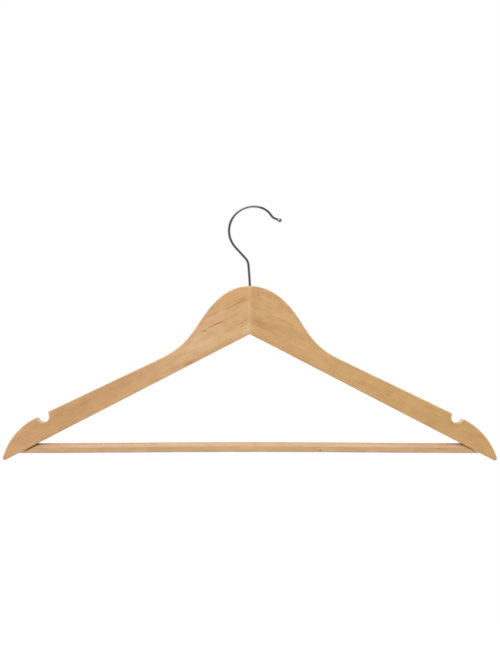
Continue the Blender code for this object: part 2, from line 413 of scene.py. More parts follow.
    def shoulder(self, flank: np.ndarray) -> np.ndarray:
        """The lip, the long arc that falls to the tip, and the small arc round the tip.

        Args:
            flank: The last point of the notch's easy flank.

        Returns:
            The points, one to a row.
        """
        lip = self.lip()
        tip_middle = self.tip_x - self.tip_radius
        above_underside = self.tip_radius / math.cos(self.underside_angle)
        tip = flat(tip_middle, self.underside(tip_middle) + above_underside)
        chord = tip - lip
        length = np.linalg.norm(chord)
        inner = self.shoulder_radius - self.tip_radius
        along = (length**2 + self.shoulder_radius**2 - inner**2) / (2 * length)
        aside = math.sqrt(self.shoulder_radius**2 - along**2)
        chord /= length
        centre = lip + along * chord + aside * flat(chord[1], -chord[0])
        first = angle_of(lip - centre) - self.lip_rounding / self.shoulder_radius
        last = angle_of(tip - centre)
        fall = arc(centre, self.shoulder_radius, first, last, self.arc_step / 2)
        square = -math.pi / 2 - self.underside_angle
        round_tip = arc(tip, self.tip_radius, last, square, self.arc_step)
        lip = self.softened(lip, flank, fall[0], self.lip_rounding)
        return np.vstack((lip, fall[1:], round_tip[1:]))

    def points(self) -> np.ndarray:
        """The whole outline, from the top of the crown over the notch and round the tip."""
        notch = self.notch()
        return np.vstack((self.neck(), notch, self.shoulder(notch[-1])))


LEFT_ARM = ArmOutline(
    underside_angle=math.radians(27.23),
    width_at_neck=0.0175,
    width_at_notch=0.0210,
    neck_middle=(0.04695, 0.0086),
    neck_angle=math.radians(55.9),
    neck_end_x=0.0847,
    crown_reach=0.0253,
    neck_reach_above=0.0136,
    neck_reach_below=0.0187,
    arm_reach=0.0242,
    shoulder_radius=0.0575,
    tip_radius=0.0018,
    notch_from_tip=0.0366,
    notch_radius=0.0052,
    notch_depth=0.00755,
    notch_steep_side=0.0044,
    notch_easy_side=0.0059,
    corner_rounding=0.0,
    lip_drop=0.0002,
    lip_rounding=0.0015,
)


@dataclass(frozen=True)
class Boards:
    """The two shaped boards, finger jointed in the middle of the crown."""

    right: ArmOutline = ArmOutline()
    left: ArmOutline = LEFT_ARM
    thickness: float = 0.012
    edge_rounding: float = 0.0013
    rim: float = 0.0003
    finger_count: int = 5
    finger_length: float = 0.010
    finger_tip_width: float = 0.0006
    joint_shoulder: float = 0.0010
    glue_line: float = 0.00006
    hole_depth: float = 0.0263
    hole_radius: float = 0.00148
    hole_countersink: float = 0.00025
    hole_sides: int = 48
    edge_steps: int = 7
    cutter_reach: float = 0.002

    def outline(self) -> np.ndarray:
        """The outline of both boards, anticlockwise from the apex of the underside."""
        left = self.left.points()[1:] * (-1.0, 1.0)
        return np.vstack(((0.0, 0.0), self.right.points()[::-1], left))

    def blank(self, name: str) -> Piece:
        """Both boards in one: the profile of the edge carried along the outline.

        The profile is a flat rim, a quarter circle, the square edge, and the same again behind.

        Args:
            name: Name of the new object.

        Returns:
            The object.
        """
        quarter = np.linspace(0.0, math.pi / 2, self.edge_steps + 1)
        half = self.thickness / 2
        depth = half - self.edge_rounding * (1 - np.sin(quarter))
        inset = self.edge_rounding * (1 - np.cos(quarter))
        depth = np.append(depth, half)
        inset = np.append(inset, self.edge_rounding + self.rim)
        depths = np.concatenate((-depth[::-1], depth))
        insets = np.concatenate((inset[::-1], inset))
        outline = self.outline()
        rings = np.zeros((len(depths), len(outline), 3))
        for ring, (depth_here, inset_here) in enumerate(zip(depths, insets)):
            rings[ring, :, 0::2] = drawn_in(outline, inset_here)
            rings[ring, :, 1] = depth_here
        return skin(name, rings)

    def finger_line(self) -> np.ndarray:
        """The line of the joint seen from above: a straight shoulder, the fingers, a shoulder.

        Returns:
            The points from front to back, as (x, y).
        """
        span = self.thickness - 2 * self.joint_shoulder
        step = span / self.finger_count
        number = np.arange(self.finger_count)
        middle = -span / 2 + (number + 0.5) * step
        x = np.where(number % 2 == 0, -0.5, 0.5) * self.finger_length
        half_tip = self.finger_tip_width / 2
        tips = np.column_stack((middle - half_tip, middle + half_tip))
        fingers = np.column_stack((np.repeat(x, 2), tips.ravel()))
        outside = self.thickness / 2 + self.cutter_reach
        front = [(0.0, -outside), (0.0, -span / 2)]
        back = [(0.0, span / 2), (0.0, outside)]
        return np.vstack((front, fingers, back))

    def joint_cutter(self, side: Side) -> Piece:
        """All that lies on one side of the joint, with half of the glue line.

        Args:
            side: The side.

        Returns:
            The cutter.
        """
        far = side.value * (self.right.tip_x + self.cutter_reach)
        line = self.finger_line()
        area = np.vstack((line, (far, line[-1, 1]), (far, line[0, 1])))
        if side is Side.RIGHT:
            area = area[::-1]
        area = drawn_in(area, -self.glue_line / 2)
        bottom = self.right.underside(self.right.tip_x)
        heights = (bottom - self.cutter_reach, self.right.crown_height + self.cutter_reach)
        rings = np.array([np.insert(area, 2, height, axis=1) for height in heights])
        return skin(f"joint_cutter_{side.label}", rings)

    def hook_hole(self) -> Piece:
        """The hole down the joint for the hook, countersunk a little at its mouth.

        Returns:
            The cutter.
        """
        wide = self.hole_radius + self.hole_countersink
        profile = np.array(
            (
                (-self.cutter_reach, wide),
                (0.0, wide),
                (self.hole_countersink, self.hole_radius),
                (self.hole_depth, self.hole_radius),
            )
        )
        top = np.array((0.0, 0.0, self.right.crown_height))
        return turned("hook_hole", top, np.array((0.0, 0.0, -1.0)), profile, self.hole_sides)

    def build(self, bar: TrouserBar, finishes: dict[Side, BoardWood]) -> None:
        """Cuts both boards from the blank and dresses them.

        Args:
            bar: The bar, which gives the sockets and the brads' holes.
            finishes: The wood of each board.
        """
        for side in Side:
            other = Side(-side.value)
            board = self.blank(f"{side.label}_arm_dressed")
            joint = [self.joint_cutter(other), self.hook_hole()]
            cut_out(board, [*joint, bar.socket(side), bar.brad_hole(side)])
            dress(rounded(board), finishes[side].material(), "wooden_body")


# The trouser bar and the brads that hold it


@dataclass(frozen=True)
class TrouserBar:
    """The round bar between the tips of the boards, with a brad through each end from behind.

    The brads' dome is given by rows of (depth, share of the head's radius).
    """

    boards: Boards
    diameter: float = 0.009
    from_tip: float = 0.0099
    bow: float = 0.0010
    chamfer: float = 0.0005
    wood_under_end: float = 0.0024
    socket_gap: float = 0.0003
    brad_from_end: float = 0.006
    brad_diameter: float = 0.0014
    brad_length: float = 0.0095
    brad_point: float = 0.0012
    brad_point_radius: float = 0.0002
    brad_head_diameter: float = 0.0024
    brad_head_height: float = 0.0006
    brad_dome: tuple[tuple[float, float], ...] = ((0.0, 0.45), (0.00004, 0.8), (0.00015, 1.0))
    brad_gap: float = 0.00008
    brad_sides: int = 40
    sides: int = 72
    steps: int = 120

    @property
    def end_x(self) -> float:
        """Distance of each end of the bar from the middle."""
        return self.boards.right.tip_x - self.from_tip

    @property
    def height(self) -> float:
        """Height of the bar's axis at its ends."""
        return self.boards.right.underside(self.end_x) + self.wood_under_end + self.diameter / 2

    def bar(self) -> Piece:
        """The dowel: a circle carried along a line that rises as a cosine wave to its middle.

        Returns:
            The object.
        """
        straight = np.linspace(-1.0, 1.0, self.steps + 1) * (self.end_x - self.chamfer)
        along = np.concatenate(((-self.end_x,), straight, (self.end_x,)))
        radius = np.full(len(along), self.diameter / 2)
        radius[[0, -1]] -= self.chamfer
        height = self.height + self.bow * (1 + np.cos(math.pi * along / self.end_x)) / 2
        turn = full_turn(self.sides)
        x = np.broadcast_to(along[:, None], (len(along), self.sides))
        y = radius[:, None] * np.cos(turn)
        z = height[:, None] + radius[:, None] * np.sin(turn)
        return skin("trouser_bar_dressed", np.stack((x, y, z), axis=-1))

    def socket(self, side: Side) -> Piece:
        """The blind hole for one end of the bar, cut from well inside the open span.

        Args:
            side: Which end.

        Returns:
            The cutter.
        """
        radius = self.diameter / 2 + self.socket_gap
        reach = (self.boards.right.neck_end_x, self.end_x + self.socket_gap)
        profile = np.array([(distance, radius) for distance in reach])
        start = np.array((0.0, 0.0, self.height))
        along = np.array((float(side.value), 0.0, 0.0))
        return turned(f"socket_{side.label}", start, along, profile, self.sides)

    def brad_profile(self, gap: float, past: float) -> np.ndarray:
        """A brad from its domed head to its point, as (depth, radius).

        Args:
            gap: How much it is let out all round.
            past: How far a square head reaches out of the board, or 0 for the domed head.

        Returns:
            The profile, one point to a row.
        """
        head = self.brad_head_diameter / 2 + gap
        shank = self.brad_diameter / 2 + gap
        neck = self.brad_head_height + gap
        dome = [(depth, head * share) for depth, share in self.brad_dome]
        top = [(-past, head)] if past else dome
        body = [(neck, head), (neck, shank), (self.brad_length - self.brad_point, shank)]
        return np.array([*top, *body, (self.brad_length + gap, self.brad_point_radius + gap)])

    def brad_solid(self, name: str, side: Side, profile: np.ndarray) -> Piece:
        """A brad or its hole, turned from a profile at one end of the bar.

        Args:
            name: Name of the new object.
            side: Which end.
            profile: Rows of (depth, radius), the depth counted from the back face.

        Returns:
            The object.
        """
        x = side.value * (self.end_x - self.brad_from_end)
        place = np.array((x, self.boards.thickness / 2, self.height))
        return turned(name, place, np.array((0.0, -1.0, 0.0)), profile, self.brad_sides)

    def brad_hole(self, side: Side) -> Piece:
        """The hole that a brad sits in."""
        profile = self.brad_profile(self.brad_gap, self.boards.cutter_reach)
        return self.brad_solid(f"brad_hole_{side.label}", side, profile)

    def build(self, wood: BarWood, steel: BradSteel) -> None:
        """Builds and dresses the bar and both brads.

        Args:
            wood: Finish of the bar.
            steel: Finish of the brads.
        """
        bar = self.bar()
        cut_out(bar, [self.brad_hole(side) for side in Side])
        dress(rounded(bar), wood.material(), "wooden_body")
        brad_finish = steel.material()
        for side in Side:
            name = f"{side.label}_bar_brad_dressed"
            brad = self.brad_solid(name, side, self.brad_profile(0.0, 0.0))
            dress(rounded(brad), brad_finish, "wooden_body")


# The hook


@dataclass(frozen=True)
class WireHook:
    """One length of wire: a threaded shank in the wood, a bend, the crown, a nose and a ball.

    Each bend is given as (radius, turn), and turns to the left where its turn is above 0.
    """

    boards: Boards
    diameter: float = 0.0026
    shank_depth: float = 0.026
    shank_above_wood: float = 0.0005
    lean: tuple[float, float] = (0.060, math.radians(4.3))
    neck_length: float = 0.01364
    lower_bend: tuple[float, float] = (0.0111, math.radians(38.06))
    throat_length: float = 0.01337
    rail_bend: tuple[float, float] = (0.0221, math.radians(-152.13))
    nose_bend: tuple[float, float] = (0.0172, math.radians(-34.75))
    nose_length: float = 0.0012
    lip_bend: tuple[float, float] = (0.00706, math.radians(33.49))
    lip_length: float = 0.0046
    ball_diameter: float = 0.0043
    ball_flat_diameter: float = 0.0009
    thread_pitch: float = 0.0010
    thread_depth: float = 0.0003
    thread_length: float = 0.0205
    point_length: float = 0.0012
    point_share: float = 0.35
    straight_step: float = 0.0005
    thread_steps: int = 14
    bend_step: float = math.radians(2.0)
    ball_steps: int = 22
    sides: int = 40

    def line(self) -> tuple[np.ndarray, np.ndarray]:
        """The middle of the wire above the thread: straights and bends, one after another.

        Returns:
            The points, and the wire's heading at each, as angles from +X.
        """
        form = (
            (self.shank_depth - self.thread_length + self.shank_above_wood, *self.lean),
            (self.neck_length, *self.lower_bend),
            (self.throat_length, *self.rail_bend),
            (0.0, *self.nose_bend),
            (self.nose_length, *self.lip_bend),
        )
        place = flat(0.0, self.boards.right.crown_height - self.shank_depth + self.thread_length)
        heading = math.pi / 2
        points, headings = [place[None, :]], [np.array((heading,))]
        for straight, radius, turn in form:
            count = max(1, round(straight / self.straight_step))
            steps = np.linspace(0.0, straight, count + 1)[1:, None]
            if straight:
                points.append(place + steps * toward(heading))
                headings.append(np.full(count, heading))
                place = points[-1][-1]
            to_centre = math.copysign(math.pi / 2, turn)
            centre = place + radius * toward(heading + to_centre)
            first = heading - to_centre
            bend = arc(centre, radius, first, first + turn, self.bend_step)
            points.append(bend[1:])
            headings.append(np.linspace(heading, heading + turn, len(bend))[1:])
            place = bend[-1]
            heading += turn
        return np.vstack(points), np.concatenate(headings)

    def tube(self, points: np.ndarray, headings: np.ndarray, radii: np.ndarray) -> np.ndarray:
        """A circle carried along a line: point plus radius times (cosine of Y plus sine aside).

        Args:
            points: Middle line in the plane of the boards.
            headings: The line's heading at each point.
            radii: Radius at each point, or at each point and side.

        Returns:
            The grid of rings.
        """
        middle = np.insert(points, 1, 0.0, axis=1)
        turn = full_turn(self.sides)[None, :, None]
        across = np.column_stack((-np.sin(headings), np.zeros(len(headings)), np.cos(headings)))
        circle = np.cos(turn) * (0.0, 1.0, 0.0) + np.sin(turn) * across[:, None, :]
        radii = radii[:, None] if radii.ndim == 1 else radii
        return middle[:, None, :] + circle * radii[:, :, None]

    def thread(self) -> np.ndarray:
        """The threaded shank, from its point up.

        The radius is the wire's, less a triangle wave of (height over pitch minus angle over a full
        turn), which fades out at the top, and it tapers over the point.

        Returns:
            The grid of rings.
        """
        count = round(self.thread_length / self.thread_pitch) * self.thread_steps
        height = np.linspace(0.0, self.thread_length, count, endpoint=False)
        turn = np.linspace(0.0, 1.0, self.sides, endpoint=False)
        phase = (height[:, None] / self.thread_pitch - turn[None, :]) % 1.0
        fade = np.clip((self.thread_length - height) / (2 * self.thread_pitch), 0.0, 1.0)
        cut = self.thread_depth * np.abs(2 * phase - 1) * fade[:, None]
        taper = np.clip(height / self.point_length, 0.0, 1.0)[:, None]
        point = self.point_share + (1.0 - self.point_share) * np.sqrt(taper)
        radii = (self.diameter / 2 - cut) * point
        bottom = self.boards.right.crown_height - self.shank_depth
        points = np.column_stack((np.zeros(count), bottom + height))
        return self.tube(points, np.full(count, math.pi / 2), radii)

    def ball(self, end: np.ndarray, heading: float) -> np.ndarray:
        """The ball: rings at even latitudes from where the wire enters it to a small flat.

        Args:
            end: The last point of the bent wire.
            heading: Its heading there.

        Returns:
            The grid of rings.
        """
        sphere = self.ball_diameter / 2
        first = math.asin(self.diameter / self.ball_diameter)
        last = math.pi - math.asin(self.ball_flat_diameter / self.ball_diameter)
        latitude = np.linspace(first, last, self.ball_steps)
        centre = end + self.lip_length * toward(heading)
        points = centre - sphere * np.cos(latitude)[:, None] * toward(heading)
        return self.tube(points, np.full(len(latitude), heading), sphere * np.sin(latitude))

    def build(self, finish: Chrome) -> None:
        """Builds the hook and dresses it.

        Args:
            finish: The bright plating.
        """
        points, headings = self.line()
        wire = self.tube(points, headings, np.full(len(points), self.diameter / 2))
        rings = np.vstack((self.thread(), wire, self.ball(points[-1], headings[-1])))
        dress(rounded(skin("hook_dressed", rings)), finish.material(), "wire_hook")


# Nodes


def node(
    tree: Tree, kind: str, inputs: Inputs | None = None, **settings: object
) -> bpy.types.Node:
    """Adds a node.

    Args:
        tree: The tree that it goes into.
        kind: The node's type.
        inputs: Its inputs by name or number, each a value or the socket that feeds it.
        **settings: The node's own properties.

    Returns:
        The node.
    """
    made = tree.nodes.new(kind)
    for name, value in settings.items():
        setattr(made, name, value)
    for key, value in (inputs or {}).items():
        if isinstance(value, Socket):
            tree.links.new(value, made.inputs[key])
        else:
            made.inputs[key].default_value = value
    return made


def vectors(tree: Tree, operation: str, *feeds: Paint) -> bpy.types.NodeOutputs:
    """The outputs of one sum on vectors: its vector and its value."""
    return node(tree, "ShaderNodeVectorMath", dict(enumerate(feeds)), operation=operation).outputs


def maths(tree: Tree, operation: str, *feeds: Value) -> Socket:
    """The outcome of one sum on numbers or sockets."""
    return node(tree, "ShaderNodeMath", dict(enumerate(feeds)), operation=operation).outputs[0]


def ranged(tree: Tree, value: Socket, span: Span, gives: Span = (0.0, 1.0)) -> Socket:
    """A value taken smoothly from one range to another.

    Args:
        tree: The tree.
        value: The socket that is read.
        span: The two values that give the ends of the new range.
        gives: The new range.

    Returns:
        The outcome's socket.
    """
    feeds = dict(enumerate((value, *span, *gives)))
    return node(tree, "ShaderNodeMapRange", feeds, interpolation_type="SMOOTHSTEP").outputs[0]


def mixed(tree: Tree, factor: Value, first: Paint, second: Paint, blend: str = "MIX") -> Socket:
    """Two colours mixed by a factor.

    Args:
        tree: The tree.
        factor: The second colour's share.
        first: Colour or socket at 0.
        second: Colour or socket at 1.
        blend: The way of mixing.

    Returns:
        The colour's socket.
    """
    pair = [paint if isinstance(paint, Socket) else (*paint, 1.0) for paint in (first, second)]
    feeds = {0: factor, 6: pair[0], 7: pair[1]}
    return node(tree, "ShaderNodeMix", feeds, data_type="RGBA", blend_type=blend).outputs[2]


def grey(tree: Tree, value: Socket) -> Socket:
    """A value as a colour."""
    return node(tree, "ShaderNodeCombineColor", dict.fromkeys(range(3), value)).outputs[0]


def parts_of(tree: Tree, vector: Socket) -> bpy.types.NodeOutputs:
    """The three parts of a vector."""
    return node(tree, "ShaderNodeSeparateXYZ", {0: vector}).outputs


def noise(tree: Tree, place: Socket, scale: float, detail: float, bend: float = 0.0) -> Socket:
    """Cloudy noise from 0 to 1.

    Args:
        tree: The tree.
        place: Where it is read.
        scale: Lumps to the metre.
        detail: How many finer layers it has.
        bend: How much it is distorted.

    Returns:
        The value's socket.
    """
    feeds = {"Vector": place, "Scale": scale, "Detail": detail, "Distortion": bend}
    return node(tree, "ShaderNodeTexNoise", feeds).outputs["Fac"]


def surfaced(tree: Tree, shader: bpy.types.Node, rough: Socket, height: Socket, bump: Span) -> None:
    """Feeds a shader's roughness and its normal.

    Args:
        tree: The material's tree.
        shader: Its Principled shader.
        rough: The roughness.
        height: The height that the bump follows.
        bump: Strength and distance of the bump.
    """
    feeds = {"Strength": bump[0], "Distance": bump[1], "Height": height}
    tree.links.new(rough, shader.inputs["Roughness"])
    tree.links.new(node(tree, "ShaderNodeBump", feeds).outputs[0], shader.inputs["Normal"])


class EffectGroup:
    """A node group that finishes share, made once and placed with its own values in each."""

    name = "effect"
    takes: dict[str, str] = {}
    gives: dict[str, str] = {}

    def draw(self, tree: Tree, inlet: bpy.types.Node) -> dict[str, Socket]:
        """Adds the group's nodes and returns the socket for each output."""
        raise NotImplementedError

    def tree(self) -> Tree:
        """The group's tree, made at its first use.

        Returns:
            The tree.
        """
        if self.name in bpy.data.node_groups:
            return bpy.data.node_groups[self.name]
        tree = bpy.data.node_groups.new(self.name, "ShaderNodeTree")
        for in_out, sockets in (("INPUT", self.takes), ("OUTPUT", self.gives)):
            for socket, kind in sockets.items():
                tree.interface.new_socket(socket, in_out=in_out, socket_type=f"NodeSocket{kind}")
        inlet = tree.nodes.new("NodeGroupInput")
        outlet = tree.nodes.new("NodeGroupOutput")
        for socket, source in self.draw(tree, inlet).items():
            tree.links.new(source, outlet.inputs[socket])
        return tree

    def place(self, tree: Tree, inputs: Inputs) -> bpy.types.NodeOutputs:
        """Places the group in a material, with its inputs by name, and returns its outputs."""
        return node(tree, "ShaderNodeGroup", inputs, node_tree=self.tree()).outputs


@dataclass(frozen=True)
class Layer:
    """One layer of noise in wood: its lumps to the metre along and across the grain."""

    along: float
    across: float
    detail: float
    bend: float = 0.0

    def value(self, tree: Tree, vector: Socket) -> Socket:
        """The layer where X runs along the grain."""
        place = vectors(tree, "MULTIPLY", vector, (self.along, self.across, self.across))[0]
        return noise(tree, place, 1.0, self.detail, self.bend)


class WoodFigure(EffectGroup):
    """The figure of plain wood along X: tones, cloudy hue, thin dark lines, fibres and pores."""

    name = "wood_figure"
    takes = {"Vector": "Vector"}
    gives = dict.fromkeys(("Tone", "Hue", "Lines", "Fibre", "Pores", "Height"), "Float")
    tones = (
        (Layer(16.0, 60.0, 2.0, 0.5), 0.34),
        (Layer(110.0, 180.0, 3.0), 0.42),
        (Layer(40.0, 300.0, 3.0, 0.3), 0.24),
    )
    hue = Layer(34.0, 95.0, 2.0, 0.5)
    lines = Layer(34.0, 1050.0, 2.0, 0.15)
    line_span = (0.6, 0.74)
    fibre = Layer(75.0, 1900.0, 3.0)
    fibre_height = 0.6
    pores = Layer(380.0, 4600.0, 1.0)
    pore_span = (0.62, 0.72)

    def draw(self, tree: Tree, inlet: bpy.types.Node) -> dict[str, Socket]:
        """The tone is a weighed sum of layers, and the height is the fibres less the pores.

        Args:
            tree: The group's tree.
            inlet: Its input node.

        Returns:
            The socket for each output.
        """
        vector = inlet.outputs["Vector"]
        broad, mottle, bands = (
            maths(tree, "MULTIPLY", layer.value(tree, vector), share) for layer, share in self.tones
        )
        fibre = self.fibre.value(tree, vector)
        pores = ranged(tree, self.pores.value(tree, vector), self.pore_span)
        raised = maths(tree, "MULTIPLY", fibre, self.fibre_height)
        return {
            "Tone": maths(tree, "ADD", maths(tree, "ADD", broad, mottle), bands),
            "Hue": self.hue.value(tree, vector),
            "Lines": ranged(tree, self.lines.value(tree, vector), self.line_span),
            "Fibre": fibre,
            "Pores": pores,
            "Height": maths(tree, "SUBTRACT", raised, pores),
        }


class GrainStreak(EffectGroup):
    """One streak or patch in the wood, an ellipsoid that is even inside and fades to its skin."""

    name = "grain_streak"
    takes = dict.fromkeys(("Vector", "Place", "Turn", "Size"), "Vector") | {
        "Core": "Float",
        "Strength": "Float",
    }
    gives = {"Mask": "Float"}
    ragged_scale = 2.5
    ragged_detail = 2.0
    ragged_span = (0.3, 0.7)
    ragged_reach = (-0.2, 0.3)

    def draw(self, tree: Tree, inlet: bpy.types.Node) -> dict[str, Socket]:
        """The distance from the middle, in half sizes and roughened, fades from the core to 1.

        Args:
            tree: The group's tree.
            inlet: Its input node.

        Returns:
            The socket for each output.
        """
        vector, place, turn, size, core, strength = list(inlet.outputs)[:6]
        feeds = {0: vector, 1: place, 2: turn, 3: size}
        inside = node(tree, "ShaderNodeMapping", feeds, vector_type="TEXTURE").outputs[0]
        ragged = noise(tree, inside, self.ragged_scale, self.ragged_detail)
        ragged = ranged(tree, ragged, self.ragged_span, self.ragged_reach)
        far = maths(tree, "ADD", vectors(tree, "LENGTH", inside)["Value"], ragged)
        return {"Mask": maths(tree, "MULTIPLY", ranged(tree, far, (1.0, core)), strength)}


class EndGrain(EffectGroup):
    """Where a surface cuts across the fibres: the normal's share along the grain."""

    name = "end_grain"
    takes = {"Normal": "Vector", "Grain": "Vector"}
    gives = {"Mask": "Float"}
    share_span = (0.25, 0.85)

    def draw(self, tree: Tree, inlet: bpy.types.Node) -> dict[str, Socket]:
        """The size of the dot product of the normal and the grain, taken over a range.

        Args:
            tree: The group's tree.
            inlet: Its input node.

        Returns:
            The socket for each output.
        """
        feeds = inlet.outputs["Normal"], inlet.outputs["Grain"]
        share = maths(tree, "ABSOLUTE", vectors(tree, "DOT_PRODUCT", *feeds)["Value"])
        return {"Mask": ranged(tree, share, self.share_span)}


class FineScratches(EffectGroup):
    """Hairline marks on bright metal, as a change of roughness and a height."""

    name = "fine_scratches"
    takes = {"Vector": "Vector", "Amount": "Float"}
    gives = {"Roughness": "Float", "Height": "Float"}
    cloud_scale = 260.0
    cloud_detail = 3.0
    cloud_span = (0.35, 0.75)
    hair_stretch = (900.0, 900.0, 6500.0)
    hair_detail = 2.0
    hair_span = (0.55, 0.75)

    def draw(self, tree: Tree, inlet: bpy.types.Node) -> dict[str, Socket]:
        """Cloudy wear from a slow noise, and short lines from a stretched one.

        Args:
            tree: The group's tree.
            inlet: Its input node.

        Returns:
            The socket for each output.
        """
        vector = inlet.outputs["Vector"]
        stretched = vectors(tree, "MULTIPLY", vector, self.hair_stretch)[0]
        hair = ranged(tree, noise(tree, stretched, 1.0, self.hair_detail), self.hair_span)
        cloud = noise(tree, vector, self.cloud_scale, self.cloud_detail)
        wear = maths(tree, "ADD", ranged(tree, cloud, self.cloud_span), hair)
        return {
            "Roughness": maths(tree, "MULTIPLY", wear, inlet.outputs["Amount"]),
            "Height": hair,
        }


# Finishes


def new_material(name: str) -> tuple[bpy.types.Material, Tree, bpy.types.Node]:
    """A new material.

    Args:
        name: Its name.

    Returns:
        The material, its tree and its Principled shader.
    """
    made = bpy.data.materials.new(name)
    made.use_nodes = True
    return made, made.node_tree, made.node_tree.nodes["Principled BSDF"]


class Tint(Enum):
    """The colours that streaks and patches take the wood towards."""

    BROWN = (0.47, 0.225, 0.07)
    OCHRE = (0.57, 0.29, 0.085)
    ORANGE = (0.70, 0.375, 0.135)
    SHADE = (0.53, 0.275, 0.098)
    PALE = (0.82, 0.58, 0.33)
    PINK = (0.78, 0.47, 0.27)
    RED = (0.55, 0.23, 0.085)
    KNOT = (0.11, 0.05, 0.018)
    HONEY = (0.80, 0.47, 0.22)


@dataclass(frozen=True)
class Streak:
    """A streak or patch on the front or, with y above 0, the back of a piece.

    Its place is counted from the apex, and its angle is in degrees up from +X.
    """

    x: float
    z: float
    angle: float
    length: float
    width: float
    strength: float
    tint: Tint = Tint.BROWN
    core: float = 0.4
    y: float = -0.006
    depth: float = 0.008

    def mask(self, tree: Tree, place: Socket) -> Socket:
        """The streak's share of the colour.

        Args:
            tree: The material's tree.
            place: The place on the surface, counted from the apex.

        Returns:
            The share's socket.
        """
        feeds = {
            "Vector": place,
            "Place": (self.x, self.y, self.z),
            "Turn": (0.0, -math.radians(self.angle), 0.0),
            "Size": (self.length / 2, self.depth / 2, self.width / 2),
            "Core": self.core,
            "Strength": self.strength,
        }
        return GrainStreak().place(tree, feeds)["Mask"]


@dataclass(frozen=True)
class Wood:
    """Plain wood under clear lacquer, with the steps that the boards and the bar share.

    The spans are the parts of the figure's values over which each step comes in.
    """

    name: str
    grain_angle: float
    dark_colour: Colour
    warm_colour: Colour
    pore_colour: Colour
    seed: float
    roughness: float
    tone_share: float = 0.8
    tone_span: Span = (0.4, 0.62)
    warm_share: float = 0.6
    warm_span: Span = (0.42, 0.66)
    fibre_span: Span = (0.3, 0.72)
    fibre_light: Span = (0.94, 1.06)
    line_share: float = 0.3
    pore_share: float = 0.25
    # End grain is painted paler: a painted highlight where cut faces catch the light from above.
    end_highlight_share: float = 0.7
    end_highlight_colour: Colour = (0.88, 0.68, 0.42)
    height_span: Span = (-0.6, 0.5)
    roughness_spread: Span = (0.1, -0.04)
    bump: Span = (0.25, 0.00006)
    coat: float = 0.2
    coat_roughness: float = 0.22
    streaks: tuple[Streak, ...] = ()

    def plain_colour(self, tree: Tree, place: Socket) -> Socket:
        """The colour before the figure is added, for a place counted from the apex."""
        raise NotImplementedError

    def marked(self, tree: Tree, place: Socket, colour: Socket) -> Socket:
        """The colour with this piece's own streaks and patches, laid on one after another.

        Args:
            tree: The material's tree.
            place: The place on the surface, counted from the apex.
            colour: The wood's colour.

        Returns:
            The new colour.
        """
        for streak in self.streaks:
            colour = mixed(tree, streak.mask(tree, place), colour, streak.tint.value)
        return colour

    def figured(self, tree: Tree, figure: bpy.types.NodeOutputs, colour: Socket) -> Socket:
        """The colour with the wood's figure: warm clouds, dark tones, fibres, lines and pores.

        Args:
            tree: The material's tree.
            figure: Outputs of the wood's figure.
            colour: The plain colour.

        Returns:
            The new colour.
        """
        warm = ranged(tree, figure["Hue"], self.warm_span, (0.0, self.warm_share))
        dark = ranged(tree, figure["Tone"], self.tone_span, (0.0, self.tone_share))
        fibre = grey(tree, ranged(tree, figure["Fibre"], self.fibre_span, self.fibre_light))
        lines = maths(tree, "MULTIPLY", figure["Lines"], self.line_share)
        pores = maths(tree, "MULTIPLY", figure["Pores"], self.pore_share)
        colour = mixed(tree, warm, colour, self.warm_colour)
        colour = mixed(tree, dark, colour, self.dark_colour)
        colour = mixed(tree, 1.0, colour, fibre, "MULTIPLY")
        colour = mixed(tree, lines, colour, self.dark_colour)
        return mixed(tree, pores, colour, self.pore_colour)

    def material(self) -> bpy.types.Material:
        """The finish: plain colour, figure, streaks, end grain painted paler as a highlight, and
        roughness and bump by fibres.

        Returns:
            The material.
        """
        made, tree, shader = new_material(self.name)
        slope = math.radians(self.grain_angle)
        seen = node(tree, "ShaderNodeTexCoord").outputs
        place = vectors(tree, "SUBTRACT", seen["Object"], tuple(APEX))[0]
        feeds = {0: place, 1: (0.0, self.seed, 0.0), 2: (0.0, slope, 0.0)}
        along = node(tree, "ShaderNodeMapping", feeds).outputs[0]
        figure = WoodFigure().place(tree, {"Vector": along})
        colour = self.figured(tree, figure, self.plain_colour(tree, place))
        colour = self.marked(tree, place, colour)
        ends = {"Normal": seen["Normal"], "Grain": (math.cos(slope), 0.0, math.sin(slope))}
        # Painted highlight: the end grain is mixed towards a pale colour.
        end = maths(tree, "MULTIPLY", EndGrain().place(tree, ends)["Mask"], self.end_highlight_share)
        colour = mixed(tree, end, colour, self.end_highlight_colour)
        tree.links.new(colour, shader.inputs["Base Color"])
        ends_of_rough = tuple(self.roughness + change for change in self.roughness_spread)
        rough = ranged(tree, figure["Height"], self.height_span, ends_of_rough)
        surfaced(tree, shader, rough, figure["Height"], self.bump)
        shader.inputs["Coat Weight"].default_value = self.coat
        shader.inputs["Coat Roughness"].default_value = self.coat_roughness
        return made


